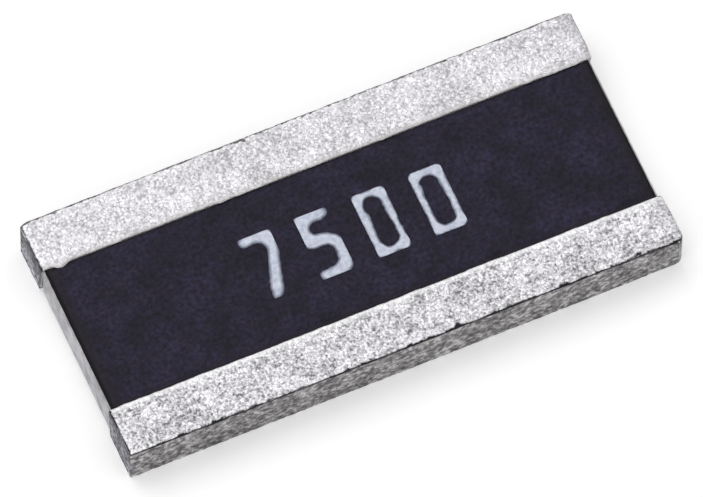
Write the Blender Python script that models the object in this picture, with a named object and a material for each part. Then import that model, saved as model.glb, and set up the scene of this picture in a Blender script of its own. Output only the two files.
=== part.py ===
"""Wide-terminal thick-film chip resistor, in metres.

X runs along the two long terminals, Y across them from the front terminal to the rear one,
and Z up. The origin is at the middle of the footprint, on the solder pads' plane.

The chip is built in the order in which the real one is made: a ceramic plate, electrodes
printed on both of its faces, a resistive film with its laser cut, a glass coat, a protective
coat, a value mark, and then three caps on each long side, one inside the other.
"""

import math
from collections import namedtuple

import bmesh
import bpy

# How far the plating stands past the plate at each layer
Growth = namedtuple("Growth", "side end face")

# Ceramic plate, snapped from a scribed sheet and tumbled
PLATE_LENGTH = 6.310e-3
PLATE_WIDTH = 2.930e-3
PLATE_THICKNESS = 0.467e-3
PLATE_CORNER = 0.030e-3
PLATE_EDGE = 0.020e-3

# Depth of the bare terminals on each face, from the plate's long side
FRONT_STRIP = 0.554e-3
REAR_STRIP = 0.583e-3
PAD_STRIP = 0.520e-3

# Layers of a terminal, from the plate outwards
ELECTRODE_THICKNESS = 8e-6
PAD_THICKNESS = 8e-6
SIDE_ELECTRODE = Growth(side=12e-6, end=18e-6, face=8e-6)
NICKEL = Growth(side=6e-6, end=6e-6, face=5e-6)
TIN = Growth(side=14e-6, end=30e-6, face=16e-6)
TIN_PLAN_RADIUS = 0.095e-3

# Printed layers between the terminals
ELECTRODE_LAP = 0.180e-3
FILM_LAP = 0.110e-3
FILM_END_MARGIN = 0.260e-3
FILM_THICKNESS = 8e-6
GLASS_OVERHANG = 0.040e-3
GLASS_THICKNESS = 8e-6
COAT_THICKNESS = 16e-6
FEATHER = 0.030e-3
COAT_FEATHER = 0.060e-3

# Laser cut that sets the value, in from the film's right end
CUT_LENGTH = 1.400e-3
CUT_WIDTH = 0.050e-3
CUT_OFFSET = 0.120e-3

# Value mark: four plain digits, whose width and height are those of the stroke's centre line
MARK = "7500"
DIGIT_WIDTH = 0.307e-3
DIGIT_HEIGHT = 0.717e-3
DIGIT_PITCH = 0.655e-3
MARK_CENTRE_X = 0.019e-3
MARK_CENTRE_Y = -0.015e-3
STROKE = 0.083e-3
STROKE_BEND = 0.070e-3
# The most of a stroke's run that one bend may take
BEND_SHARE = 0.45
INK_THICKNESS = 8e-6

# Bonded layers are kept this far apart, so that each stays a solid of its own
SEAT_GAP = 1e-6
# Between the plating's rim and the coat's edge
RIM_GAP = 2e-6
# Between a print's outer edge and the rounding of the plate's edge
PRINT_MARGIN = 5e-6

CORNER_STEPS = 3
PLAN_STEPS = 5
EDGE_STEPS = 3
FEATHER_STEPS = 2
BEND_STEPS = 4
# Edges sharper than this stay crisp, in degrees
CRISP_ANGLE = 35
# Grid lines or loft stations closer than this count as one
LEAST_SPACING = 3e-6


# A rounded box open at its inner side: what a cap's outer or inner surface follows
Envelope = namedtuple("Envelope", "half_length side low high corner edge plan")
# A printed rectangle with feathered edges
Print = namedtuple("Print", "x0 x1 y0 y1 thickness feather steps")


def plate_envelope():
    """The ceramic plate's own outer surface, with its underside at zero height."""
    return Envelope(
        half_length=PLATE_LENGTH / 2,
        side=PLATE_WIDTH / 2,
        low=0.0,
        high=PLATE_THICKNESS,
        corner=PLATE_CORNER,
        edge=PLATE_EDGE,
        plan=PLATE_EDGE,
    )


def grown(inner, growth):
    """The envelope that lies around another one by a layer's thicknesses."""
    return Envelope(
        half_length=inner.half_length + growth.end,
        side=inner.side + growth.side,
        low=inner.low - growth.face,
        high=inner.high + growth.face,
        corner=inner.corner + growth.face,
        edge=inner.edge + growth.face,
        plan=inner.plan + growth.side,
    )


def cap_envelopes():
    """Inner and outer envelope of each cap: side electrode, nickel and tin."""
    seat = Growth(SEAT_GAP, SEAT_GAP, SEAT_GAP)
    electrodes = plate_envelope()._replace(low=-PAD_THICKNESS, high=PLATE_THICKNESS + ELECTRODE_THICKNESS)
    envelopes = {}
    base = electrodes
    layers = (("side_electrode", SIDE_ELECTRODE), ("nickel_barrier", NICKEL), ("tin_plating", TIN))
    for name, growth in layers:
        cavity = grown(base, seat)
        outer = grown(cavity, growth)
        if name == "tin_plating":
            outer = outer._replace(plan=TIN_PLAN_RADIUS)
        envelopes[name] = (cavity, outer)
        base = outer
    return envelopes


def spaced(values):
    """Sorted values without those that lie closer together than the least spacing."""
    kept = []
    for value in sorted(values):
        if not kept or value - kept[-1] > LEAST_SPACING:
            kept.append(value)
    return kept


def round_over(depth, radius):
    """How far a quarter-round edge has drawn in at a depth below the face that it meets."""
    if depth >= radius:
        return 0.0
    return radius - math.sqrt(radius**2 - (radius - depth) ** 2)


def ring(envelope, depth, turn_y, pad_y):
    """Rounded rectangle across the chip, at a depth inside the envelope's long side.

    The ring's top lies at turn_y and its bottom at pad_y, so that a cap's open rim can lean.
    """
    drawn = round_over(depth, envelope.edge)
    half = envelope.half_length - round_over(depth, envelope.plan)
    low = envelope.low + drawn
    high = envelope.high - drawn
    radius = envelope.corner - drawn
    points = []
    for quarter, (cx, cz) in enumerate((
        (half - radius, high - radius),
        (-half + radius, high - radius),
        (-half + radius, low + radius),
        (half - radius, low + radius),
    )):
        for step in range(CORNER_STEPS + 1):
            angle = math.radians(90 * (quarter + step / CORNER_STEPS))
            x = cx + radius * math.cos(angle)
            z = cz + radius * math.sin(angle)
            share = (z - low) / (high - low)
            points.append((x, pad_y + (turn_y - pad_y) * share, z))
    return points


def side_depths(envelope):
    """Depths inside the long side at which its rounded edges need a station, deepest first."""
    depths = [0.0]
    for radius, steps in ((envelope.plan, PLAN_STEPS), (envelope.edge, EDGE_STEPS)):
        depths += [radius * (1 - math.sin(math.radians(90 * k / steps))) for k in range(steps)]
    return spaced(depths)[::-1]


def add_loft(mesh, rings, close_start, close_end):
    """Joins rings of equal count into a tube, with its ends filled or left open."""
    loops = [[mesh.verts.new(point) for point in points] for points in rings]
    count = len(loops[0])
    for first, second in zip(loops, loops[1:]):
        for k in range(count):
            mesh.faces.new((first[k], first[(k + 1) % count], second[(k + 1) % count], second[k]))
    if close_start:
        mesh.faces.new(loops[0])
    if close_end:
        mesh.faces.new(loops[-1])
    return loops


def block_mesh(envelope):
    """A closed rounded block: the ceramic plate."""
    mesh = bmesh.new()
    depths = side_depths(envelope)
    stations = [(depth, depth - envelope.side) for depth in reversed(depths)]
    stations += [(depth, envelope.side - depth) for depth in depths]
    rings = [ring(envelope, depth, y, y) for depth, y in stations]
    add_loft(mesh, rings, close_start=True, close_end=True)
    return mesh


def cap_mesh(cavity, outer, strip, facing):
    """A five-walled cap over one long side, open towards the middle of the chip.

    facing is -1 for the front terminal and 1 for the rear one.
    """
    top_rim = PLATE_WIDTH / 2 - strip
    pad_rim = PLATE_WIDTH / 2 - PAD_STRIP
    mesh = bmesh.new()
    rims = []
    for envelope in (outer, cavity):
        rings = [ring(envelope, envelope.side, facing * top_rim, facing * pad_rim)]
        for depth in side_depths(envelope):
            y = facing * (envelope.side - depth)
            rings.append(ring(envelope, depth, y, y))
        rims.append(add_loft(mesh, rings, close_start=False, close_end=True)[0])
    count = len(rims[0])
    for k in range(count):
        n = (k + 1) % count
        mesh.faces.new((rims[0][k], rims[0][n], rims[1][n], rims[1][k]))
    return mesh


def printed_layers():
    """Every print on the plate's top, in the order of printing."""
    flat_x = PLATE_LENGTH / 2 - PLATE_CORNER - PRINT_MARGIN
    flat_y = PLATE_WIDTH / 2 - PLATE_EDGE - PRINT_MARGIN
    front_rim = -PLATE_WIDTH / 2 + FRONT_STRIP
    rear_rim = PLATE_WIDTH / 2 - REAR_STRIP
    film_x = PLATE_LENGTH / 2 - FILM_END_MARGIN
    film_front = front_rim + ELECTRODE_LAP - FILM_LAP
    film_rear = rear_rim - ELECTRODE_LAP + FILM_LAP
    over = GLASS_OVERHANG
    return {
        "top_electrode_front": Print(
            -flat_x, flat_x, -flat_y, front_rim + ELECTRODE_LAP, ELECTRODE_THICKNESS, FEATHER, 1),
        "top_electrode_rear": Print(
            -flat_x, flat_x, rear_rim - ELECTRODE_LAP, flat_y, ELECTRODE_THICKNESS, FEATHER, 1),
        "resistive_film": Print(
            -film_x, film_x, film_front, film_rear, FILM_THICKNESS, FEATHER, 1),
        "glass_precoat": Print(
            -film_x - over, film_x + over, film_front - over, film_rear + over,
            GLASS_THICKNESS, FEATHER, 1),
        "protective_overcoat": Print(
            -flat_x, flat_x, front_rim + RIM_GAP, rear_rim - RIM_GAP,
            COAT_THICKNESS, COAT_FEATHER, FEATHER_STEPS),
    }


def pad_prints():
    """The two electrodes printed on the plate's underside."""
    flat_x = PLATE_LENGTH / 2 - PLATE_CORNER - PRINT_MARGIN
    flat_y = PLATE_WIDTH / 2 - PLATE_EDGE - PRINT_MARGIN
    rim = PLATE_WIDTH / 2 - PAD_STRIP
    return {
        "bottom_electrode_front": Print(-flat_x, flat_x, -flat_y, -rim, PAD_THICKNESS, FEATHER, 1),
        "bottom_electrode_rear": Print(-flat_x, flat_x, rim, flat_y, PAD_THICKNESS, FEATHER, 1),
    }


def laser_cut():
    """The strip that the laser burns out of the film and the glass."""
    film = printed_layers()["resistive_film"]
    start = film.x1 - CUT_LENGTH
    return (start, PLATE_LENGTH / 2, CUT_OFFSET - CUT_WIDTH / 2, CUT_OFFSET + CUT_WIDTH / 2)


def print_height(layer, x, y):
    """Thickness of a print at a point: full inside, rounded down to nothing at its edge."""
    reach = min(x - layer.x0, layer.x1 - x, y - layer.y0, layer.y1 - y)
    if reach <= 0:
        return 0.0
    return layer.thickness * math.sin(math.pi / 2 * min(1.0, reach / layer.feather))


def grid_lines(layers, low, high, extra):
    """Grid lines along one axis, at the edges and feathers of all prints."""
    lines = list(extra)
    for layer in layers:
        start, end = getattr(layer, low), getattr(layer, high)
        for step in range(layer.steps + 1):
            inwards = layer.feather * step / layer.steps
            lines += [start + inwards, end - inwards]
    return spaced(lines)


def rising_corner(prints, xs, ys, i, j):
    """Whether a print's corner rises from the cell's lower right or upper left grid point.

    The cell is then split from that point, so that the print has no flat sliver there.
    """
    corners = ((0, 0), (1, 0), (0, 1), (1, 1))
    for layer in prints:
        full = [(p, q) for p, q in corners if print_height(layer, xs[i + p], ys[j + q]) > SEAT_GAP]
        if full in ([(1, 0)], [(0, 1)]):
            return True
    return False


def print_mesh(prints, index, xs, ys, base, way, cut=None):
    """A print as a closed solid that drapes over the earlier prints of the same face.

    base is the height of the plate's face and way is 1 on its top and -1 on its underside.
    The grid is shared by all prints of a face, so that each lies exactly on the one below.
    """
    layer, below = prints[index], prints[:index]

    def holds(i, j):
        """Whether the print fills a cell of the grid."""
        x, y = (xs[i] + xs[i + 1]) / 2, (ys[j] + ys[j + 1]) / 2
        inside = layer.x0 < x < layer.x1 and layer.y0 < y < layer.y1
        burnt = cut and cut[0] < x < cut[1] and cut[2] < y < cut[3]
        return inside and not burnt

    mesh = bmesh.new()
    made = {}

    def corner(i, j, upper):
        """The vertex on the print's upper or lower face at a grid point."""
        height = print_height(layer, xs[i], ys[j])
        if height <= SEAT_GAP:
            upper = True
        if (i, j, upper) not in made:
            under = sum(print_height(other, xs[i], ys[j]) for other in below)
            rise = under + (height if upper else SEAT_GAP)
            made[i, j, upper] = mesh.verts.new((xs[i], ys[j], base + way * rise))
        return made[i, j, upper]

    def add(*corners):
        """Adds a face, without the corners that meet where the print has thinned out."""
        unique = list(dict.fromkeys(corners))
        if len(unique) > 2:
            mesh.faces.new(unique)

    cells = {(i, j) for i in range(len(xs) - 1) for j in range(len(ys) - 1) if holds(i, j)}
    for i, j in sorted(cells):
        turn = rising_corner(prints, xs, ys, i, j)
        for upper in (True, False):
            around = [corner(i + p, j + q, upper) for p, q in ((0, 0), (1, 0), (1, 1), (0, 1))]
            if turn:
                around = around[1:] + around[:1]
            add(around[0], around[1], around[2])
            add(around[0], around[2], around[3])
        sides = (
            ((i, j - 1), (i, j), (i + 1, j)),
            ((i + 1, j), (i + 1, j), (i + 1, j + 1)),
            ((i, j + 1), (i + 1, j + 1), (i, j + 1)),
            ((i - 1, j), (i, j + 1), (i, j)),
        )
        for neighbour, start, end in sides:
            if neighbour not in cells:
                add(corner(*start, False), corner(*end, False), corner(*end, True), corner(*start, True))
    return mesh


# Corners of each digit's stroke, as shares of its width and height, and whether it closes
DIGIT_STROKES = {
    "7": ([(0, 1), (1, 1), (0.98, 0.76), (0.38, 0)], False),
    "5": ([(0.96, 1), (0.02, 1), (0, 0.57), (0.68, 0.59), (1, 0.45), (1, 0.13), (0.72, 0), (0, 0)], False),
    "0": ([(0.14, 0), (0.86, 0), (1, 0.07), (1, 0.93), (0.86, 1), (0.14, 1), (0, 0.93), (0, 0.07)], True),
}


def bent_path(corners, closed):
    """The stroke's centre line, with each corner turned into a smooth bend."""
    count = len(corners)
    path = []
    for k, here in enumerate(corners):
        if not closed and k in (0, count - 1):
            path.append(here)
            continue
        ends = []
        for other in (corners[k - 1], corners[(k + 1) % count]):
            length = math.dist(here, other)
            share = min(STROKE_BEND, length * BEND_SHARE) / length
            ends.append((here[0] + (other[0] - here[0]) * share, here[1] + (other[1] - here[1]) * share))
        for step in range(BEND_STEPS + 1):
            t = step / BEND_STEPS
            weights = ((1 - t) ** 2, 2 * t * (1 - t), t**2)
            trio = (ends[0], here, ends[1])
            path.append(tuple(sum(w * p[axis] for w, p in zip(weights, trio)) for axis in (0, 1)))
    return path


def add_round_end(mesh, tip, pair, inward):
    """Closes an open stroke with a half disc, on the side away from the stroke's next point."""
    first, last = pair
    start = math.atan2(first.co.y - tip[1], first.co.x - tip[0])
    ahead = math.atan2(tip[1] - inward[1], tip[0] - inward[0])
    turn = 1 if math.sin(ahead - start) > 0 else -1
    rim = [first]
    for step in range(1, BEND_STEPS):
        angle = start + turn * math.pi * step / BEND_STEPS
        rim.append(mesh.verts.new((
            tip[0] + STROKE / 2 * math.cos(angle),
            tip[1] + STROKE / 2 * math.sin(angle),
            0,
        )))
    mesh.faces.new(rim + [last])


def digit_mesh(digit):
    """A digit as a flat sheet about its own centre: a stroke of even width with round ends."""
    shares, closed = DIGIT_STROKES[digit]
    corners = [((x - 0.5) * DIGIT_WIDTH, (y - 0.5) * DIGIT_HEIGHT) for x, y in shares]
    path = bent_path(corners, closed)
    count = len(path)
    half = STROKE / 2
    mesh = bmesh.new()
    pairs = []
    for k, (x, y) in enumerate(path):
        before = path[k - 1] if closed or k else path[k]
        after = path[(k + 1) % count] if closed or k < count - 1 else path[k]
        run = math.dist(before, after)
        across = (-(after[1] - before[1]) / run * half, (after[0] - before[0]) / run * half)
        pairs.append((
            mesh.verts.new((x + across[0], y + across[1], 0)),
            mesh.verts.new((x - across[0], y - across[1], 0)),
        ))
    for k in range(count if closed else count - 1):
        left, right = pairs[k]
        next_left, next_right = pairs[(k + 1) % count]
        mesh.faces.new((left, right, next_right, next_left))
    if not closed:
        add_round_end(mesh, path[0], pairs[0], path[1])
        add_round_end(mesh, path[-1], pairs[-1], path[-2])
    bmesh.ops.recalc_face_normals(mesh, faces=mesh.faces[:])
    if mesh.faces[0].normal.z < 0:
        bmesh.ops.reverse_faces(mesh, faces=mesh.faces[:])
    return mesh


def add_material(name, colour, roughness, metallic):
    """A plain surface finish."""
    material = bpy.data.materials.new(name)
    material.use_nodes = True
    shader = material.node_tree.nodes["Principled BSDF"]
    shader.inputs["Base Color"].default_value = (*colour, 1.0)
    shader.inputs["Roughness"].default_value = roughness
    shader.inputs["Metallic"].default_value = metallic
    return material


def add_object(name, mesh, material, parent, location=(0, 0, 0)):
    """Turns a finished bmesh into an object on the chip."""
    bmesh.ops.recalc_face_normals(mesh, faces=mesh.faces[:])
    data = bpy.data.meshes.new(name)
    mesh.to_mesh(data)
    mesh.free()
    data.materials.append(material)
    data.shade_smooth()
    data.set_sharp_from_angle(angle=math.radians(CRISP_ANGLE))
    item = bpy.data.objects.new(name, data)
    item.location = location
    item.parent = parent
    bpy.context.collection.objects.link(item)
    return item


def add_plate(parent):
    """The ceramic plate that carries everything."""
    ceramic = add_material("ceramic", (0.78, 0.77, 0.80), 0.55, 0.0)
    add_object("ceramic_substrate", block_mesh(plate_envelope()), ceramic, parent)


def add_prints(parent):
    """Electrodes, film, glass and coat, each draped over those below it."""
    finishes = {
        "top": add_material("electrode_silver", (0.72, 0.71, 0.69), 0.45, 1.0),
        "resistive": add_material("resistive_film", (0.05, 0.05, 0.05), 0.6, 0.0),
        "glass": add_material("glass_coat", (0.10, 0.14, 0.12), 0.2, 0.0),
        "protective": add_material("overcoat", (0.030, 0.028, 0.042), 0.55, 0.0),
    }
    finishes["bottom"] = finishes["top"]
    cut = laser_cut()
    for prints, base, way in ((printed_layers(), PLATE_THICKNESS, 1), (pad_prints(), 0.0, -1)):
        xs = grid_lines(prints.values(), "x0", "x1", cut[:1] if way > 0 else ())
        ys = grid_lines(prints.values(), "y0", "y1", cut[2:] if way > 0 else ())
        for index, name in enumerate(prints):
            burnt = cut if name in ("resistive_film", "glass_precoat") else None
            mesh = print_mesh(list(prints.values()), index, xs, ys, base, way, burnt)
            add_object(name, mesh, finishes[name.split("_")[0]], parent)


def add_terminals(parent):
    """Three nested caps on each long side."""
    finishes = {
        "side_electrode": add_material("side_silver", (0.70, 0.69, 0.66), 0.5, 1.0),
        "nickel_barrier": add_material("nickel", (0.58, 0.56, 0.52), 0.35, 1.0),
        "tin_plating": add_material("matte_tin", (0.76, 0.76, 0.77), 0.5, 1.0),
    }
    for side, strip, facing in (("front", FRONT_STRIP, -1), ("rear", REAR_STRIP, 1)):
        for name, (cavity, outer) in cap_envelopes().items():
            add_object(f"{name}_{side}", cap_mesh(cavity, outer, strip, facing), finishes[name], parent)


def add_mark(parent):
    """The printed digits, on the coat's level middle."""
    ink = add_material("mark_ink", (0.62, 0.66, 0.80), 0.5, 0.0)
    prints = printed_layers()
    under = ("resistive_film", "glass_precoat", "protective_overcoat")
    height = PLATE_THICKNESS + sum(prints[name].thickness for name in under) + SEAT_GAP
    for k, digit in enumerate(MARK):
        x = MARK_CENTRE_X + (k - (len(MARK) - 1) / 2) * DIGIT_PITCH
        place = (x, MARK_CENTRE_Y, height)
        item = add_object(f"marking_digit_{k + 1}", digit_mesh(digit), ink, parent, place)
        body = item.modifiers.new("ink", "SOLIDIFY")
        body.thickness = INK_THICKNESS
        body.offset = 1.0
        body.use_even_offset = False


def main():
    """Clears the scene and builds the chip."""
    for item in list(bpy.data.objects):
        bpy.data.objects.remove(item)
    chip = bpy.data.objects.new("chip_resistor", None)
    chip.location.z = -cap_envelopes()["tin_plating"][1].low
    bpy.context.collection.objects.link(chip)
    add_plate(chip)
    add_prints(chip)
    add_terminals(chip)
    add_mark(chip)


main()
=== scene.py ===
import math

import bmesh
import bpy
import numpy as np
from mathutils import Matrix, Vector


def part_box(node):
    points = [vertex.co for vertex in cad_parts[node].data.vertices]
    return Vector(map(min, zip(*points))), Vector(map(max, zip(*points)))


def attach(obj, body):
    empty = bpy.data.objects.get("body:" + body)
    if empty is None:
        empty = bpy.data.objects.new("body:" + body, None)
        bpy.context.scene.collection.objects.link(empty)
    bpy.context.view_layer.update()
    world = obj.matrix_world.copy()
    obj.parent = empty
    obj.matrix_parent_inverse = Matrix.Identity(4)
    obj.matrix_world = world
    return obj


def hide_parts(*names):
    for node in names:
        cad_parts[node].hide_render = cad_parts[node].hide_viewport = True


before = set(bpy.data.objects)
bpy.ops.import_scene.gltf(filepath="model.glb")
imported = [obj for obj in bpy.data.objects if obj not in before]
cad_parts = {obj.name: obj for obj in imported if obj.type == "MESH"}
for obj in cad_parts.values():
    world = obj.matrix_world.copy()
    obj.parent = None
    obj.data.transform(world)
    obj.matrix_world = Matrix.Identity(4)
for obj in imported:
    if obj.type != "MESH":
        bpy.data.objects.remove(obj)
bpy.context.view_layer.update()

# Lengths are in metres. X runs along the terminals, the front one is at -Y, and Z is up.
# Where a value has one entry for each cap, -1 is the front one and 1 the rear one.

SEED = 7

# Picture frame and the camera that was fitted to the chip's edges in the photograph
PICTURE_WIDTH = 703
FOCAL_PIXELS = 16431.0
SENSOR = 36.0
CAMERA_ROWS = (
    (0.91513, -0.40311, 0.00633),
    (-0.35675, -0.81700, -0.45303),
    (0.18779, 0.41232, -0.89147),
)
CAMERA_MOVE = (-0.0135e-3, 0.0703e-3, 174.3827e-3)
CLIP_NEAR, CLIP_FAR = 0.01, 10

# Light: the world's level, each lamp's place, size and watts, and the floor's size and own glow
WORLD_STRENGTH = 0.72
LAMPS = {
    "key": ((-0.05, 0.16, 0.30), 0.22, 0.25),
    "fill": ((-0.25, -0.10, 0.20), 0.16, 0.06),
}
FLOOR_HALF = 0.6
FLOOR_GLOW = 0.24

# Tin: mesh spacing, plated grain, broad swell, and nicks where the surface bends
TIN_PITCH = 12.5e-6
GRAIN = 50e-6
GRAIN_LIFT = 1.6e-6
GRAIN_TILT = 0.14
SWELL = 0.45e-3
SWELL_LIFT = 2.0e-6
NICK = 0.10e-3
NICK_LEVEL = 0.25
NICK_DEPTH = 7e-6
NICK_BEND = 0.7

# Tin: edge radii along x, y and z, and those of the front cap's right end and the rear cap's left
# one, which are blunter: from where along x, and over what length they blend in
TIN_RADII = {-1: (0.085e-3, 0.022e-3, 0.026e-3), 1: (0.085e-3, 0.050e-3, 0.029e-3)}
BLUNT_RADII = (0.130e-3, 0.075e-3, 0.031e-3)
BLUNT_START = 2.6e-3
BLUNT_BLEND = 0.3e-3
# How far the rounded box runs on past the open rim
PAST_RIM = 1e-3

# Tin: how far the ends draw in towards the rim, and how far the left ends and the long sides do
END_FLARE = 0.027e-3
FLARE_FADE = 0.22e-3
LEFT_DRAWN = 0.024e-3
SIDE_DRAWN = {-1: 0.004e-3, 1: 0.003e-3}
# How squarely a point must face along x to count as an end, and the least cover over the nickel
END_FACING = 0.9
LEAST_COVER = 1e-6
# How far the skin may leave its rounded box before the cap is too thin
TIN_ROOM = (27e-6, 10.5e-6, 12e-6)
# Rounding of the hollow's corners, and its rings: how far each stands off the closed wall and is
# drawn in, as shares of that rounding
CAVITY_ROUND = 0.034e-3
CAVITY_RINGS = ((1, 0), (0.3, 0.3), (0, 1))

# Inner rim: its waves and ragged line, how far they reach back, how they end before the plate's
# ends, the lobe near the rear rim's left end, how the rim sinks, and how wide its painted light is
RIM_REACH = 0.012e-3
RIM_WAVE = 0.36e-3
RIM_RAGGED = 0.007e-3
RIM_RAG = 0.07e-3
RIM_LEAST = 0.5e-6
RIM_ROUGHNESS = {-1: 1.0, 1: 1.7}
RIM_FADE = 0.12e-3
RIM_END = 3.12e-3
RIM_END_FADE = 0.12e-3
LOBE_REACH = 0.040e-3
LOBE_PLACE = -2.965e-3
LOBE_WIDTH = 0.065e-3
RIM_DROP = 10e-6
RIM_ROLL = 18e-6
RIM_LIGHT_WIDTH = 0.065e-3

# Painted shade of the dark line along the top's outer edges, over its groove: how far it comes up onto the
# top, in slabs and notches too
LINE_RISE = 13e-6
LINE_RAGGED = 12e-6
SLAB = 0.075e-3
SLAB_RISE = 30e-6
NOTCH = 0.085e-3
NOTCH_LEVEL = 0.26
NOTCH_RISE = 50e-6
# How far it goes down the side, also towards the right end, and how sharp its two borders are
LINE_FALL = 15e-6
LINE_WANDER = 17e-6
RIGHT_FALL = 14e-6
RIGHT_START = 2.4e-3
RIGHT_BLEND = 0.7e-3
LINE_SHARPNESS = 5e-6
LINE_BLUR = 16e-6
# Where it ends at the right, how far in from the left end its crease runs, and how calm that is
LINE_END = 12e-6
CREASE_INSET = 22e-6
CREASE_CALM = 0.75
CREASE_SHORT = 2e-6
# Its groove and the strength of its painted shade, the painted shade of the dark upright corner, and the
# painted highlight
# of the bright lip inside it: the run where it rises and over what width, the same for its fall, and how far
# below the top it may lie
GROOVE_DEPTH = 7e-6
LINE_STRENGTH = {-1: 1, 1: 0.8}
CORNER_START = 10e-6
CORNER_BLUR = 16e-6
LIP_BAND = (22e-6, 8e-6, 44e-6, 24e-6)
LIP_DEPTH = 12e-6

# Tin: where a material's five tones lie, and the tones of the long sides and the left ends, which
# are painted darker than the top as shade
TONE_STOPS = (0.08, 0.32, 0.50, 0.70, 0.92)
TIN_SIDE_TONES = (
    (0.100, 0.096, 0.100), (0.185, 0.178, 0.185), (0.275, 0.265, 0.27),
    (0.40, 0.39, 0.39), (0.62, 0.61, 0.61),
)
TIN_END_TONES = ((0.05, 0.05, 0.06), (0.16, 0.16, 0.185), (0.50, 0.50, 0.55))
# The dark line's colour: painted shade in its groove and in the upright corner
SHADE_LINE_COLOUR = (0.030, 0.028, 0.032, 1)
# Each cap's tones on the top, from its gaps to its crowns: partly the tin's own grain and partly
# painted shade in the gaps and highlight on the crowns, painted darker on the front cap and lighter
# on the rear one; and the painted light at its inner rim, a highlight on the front cap and shade on the rear
# one
TIN_TOPS = {-1: (0.22, 0.51, 0.68, 0.87, 1.0), 1: (0.47, 0.65, 0.77, 0.86, 0.97)}
RIM_LIGHT_SHADES = {-1: (0.97, 0.97, 0.98), 1: (0.60, 0.59, 0.59)}

# Plate: mesh steps, edge radius, roughness of its snapped ends, and how far they stand out between
# the caps: from where along x, over what rise, and how wide the bulge fades beside the caps
PLATE_COUNTS = (90, 150, 24)
PLATE_RADIUS = 0.016e-3
SNAP_ROUGH = 5e-6
SNAP_GRAIN = (0.12e-3, 0.12e-3, 0.05e-3)
SNAP_BULGE = 18e-6
SNAP_START = 3.10e-3
SNAP_RISE = 0.05e-3
SNAP_FADE = 0.03e-3

# Coat: mesh spacing above, how many of its steps make one below, how much nearer the plate's ends
# it comes than its print, its feathered edge, and its climb over a terminal
COAT_PITCH = 15e-6
INNER_STEP = 8
COAT_OVERRUN = 33e-6
COAT_FEATHER = 0.080e-3
LAP_SLOPE = 0.03e-3
# Coat: how far it lies below its print's top, its pits, and the thickness that it may sink to.
# Under RIPPLED_FROM it has less and less ripple
COAT_SINK = 2.5e-6
PIT = 0.05e-3
PIT_LEVEL = 0.88
PIT_DEPTH = 6e-6
RIPPLED_FROM = 10e-6
COAT_LEAST = 2e-6
# Coat: its ragged ends, and how far back they reach
COAT_RAGGED = 10e-6
COAT_RAG = 0.06e-3
COAT_RAG_REACH = 0.10e-3
# Coat: bands where it thins to brown at its ends, pales beside the caps, and at its rim is painted
# black as shade where it falls away: axis, waver, start, width, colour and strength
COAT_BANDS = (
    ("X", 0.10e-3, 3.03e-3, 0.15e-3, (0.0145, 0.0105, 0.0125, 1), 0.85),
    ("Y", 0.06e-3, 0.87e-3, 0.06e-3, (0.026, 0.020, 0.027, 1), 0.8),
    # Painted shade: the coat's rim goes black where it falls away
    ("X", 0.0, 3.104e-3, 0.020e-3, (0.002, 0.0015, 0.003, 1), 0.95),
)

# Mark: corners of each digit's stroke, as shares of its width and height, and whether it closes
DIGIT_STROKES = {
    "7": ([(0, 1), (1, 1), (0.98, 0.76), (0.38, 0)], False),
    "5": ([(0.96, 1), (0.02, 1), (0, 0.57), (0.68, 0.59), (1, 0.47), (1, 0.10), (0.76, 0), (0, 0)], False),
    "0": ([(0, 0), (1, 0), (1, 1), (0, 1)], True),
}
MARK = "7500"
# The stroke: its width, the spacing of its points, its inset from the digit's box in widths, how
# many half widths open and closed ones have, how much those wander, and the weight of its ends
INK_PITCH = 5e-6
STROKE = 0.083e-3
STROKE_STEP = 8e-6
STROKE_INSET = 0.56
STROKE_HALVES = {False: 1.75, True: 1.22}
STROKE_WANDER = 0.50
STROKE_END = 0.65
# How wide the ink's pull is for its stroke, how far its edge is rounded, how high it stands there
# as a share, how much its top waves, and how ragged its outline is
INK_SPREAD = 1.1
INK_BEVEL = 0.034e-3
INK_EDGE = 0.10
INK_WAVE = 0.12
INK_RAGGED = 15e-6
INK_RAG = 0.08e-3
# Ink that gathers inside a sharp corner: how strong, how wide, and how far in for a stroke's width
INK_POOL = 0.85
INK_POOL_SIZE = 0.058e-3
INK_POOL_INSET = 0.40

# Hidden CAD layers: each material's name, colour and metallic value, and the layers that have it
INNER_FINISHES = (
    ("inner_silver", (0.72, 0.71, 0.69), 1.0, [
        f"{kind}_electrode_{end}" for kind in ("top", "bottom", "side") for end in ("front", "rear")]),
    ("inner_nickel", (0.58, 0.56, 0.52), 1.0, ["nickel_barrier_front", "nickel_barrier_rear"]),
    ("inner_film", (0.05, 0.05, 0.05), 0.0, ["resistive_film"]),
    ("inner_glass", (0.10, 0.14, 0.12), 0.0, ["glass_precoat"]),
)


def hashed(cells, seed):
    """Repeatable random numbers from 0 to 1 for whole-number cells, one for each row."""
    keys = cells.astype(np.int64)
    mixed = keys[:, 0] * 73856093 ^ keys[:, 1] * 19349663 ^ keys[:, 2] * 83492791 ^ (seed * 2654435761)
    mixed = (mixed ^ (mixed >> 13)) * 1274126177
    mixed = (mixed ^ (mixed >> 16)) * 668265263
    return ((mixed ^ (mixed >> 15)) & 0xFFFFFF) / float(0xFFFFFF)


def smooth_noise(points, cell, seed):
    """Value noise from -1 to 1 with features of the given size; cell may differ by axis."""
    places = points / np.asarray(cell, float)
    base = np.floor(places)
    part = places - base
    part = part * part * (3 - 2 * part)
    total = np.zeros(len(points))
    for dx in (0, 1):
        for dy in (0, 1):
            for dz in (0, 1):
                weight = (
                    (part[:, 0] if dx else 1 - part[:, 0])
                    * (part[:, 1] if dy else 1 - part[:, 1])
                    * (part[:, 2] if dz else 1 - part[:, 2])
                )
                total += weight * hashed(base + (dx, dy, dz), seed)
    return 2 * total - 1


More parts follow.
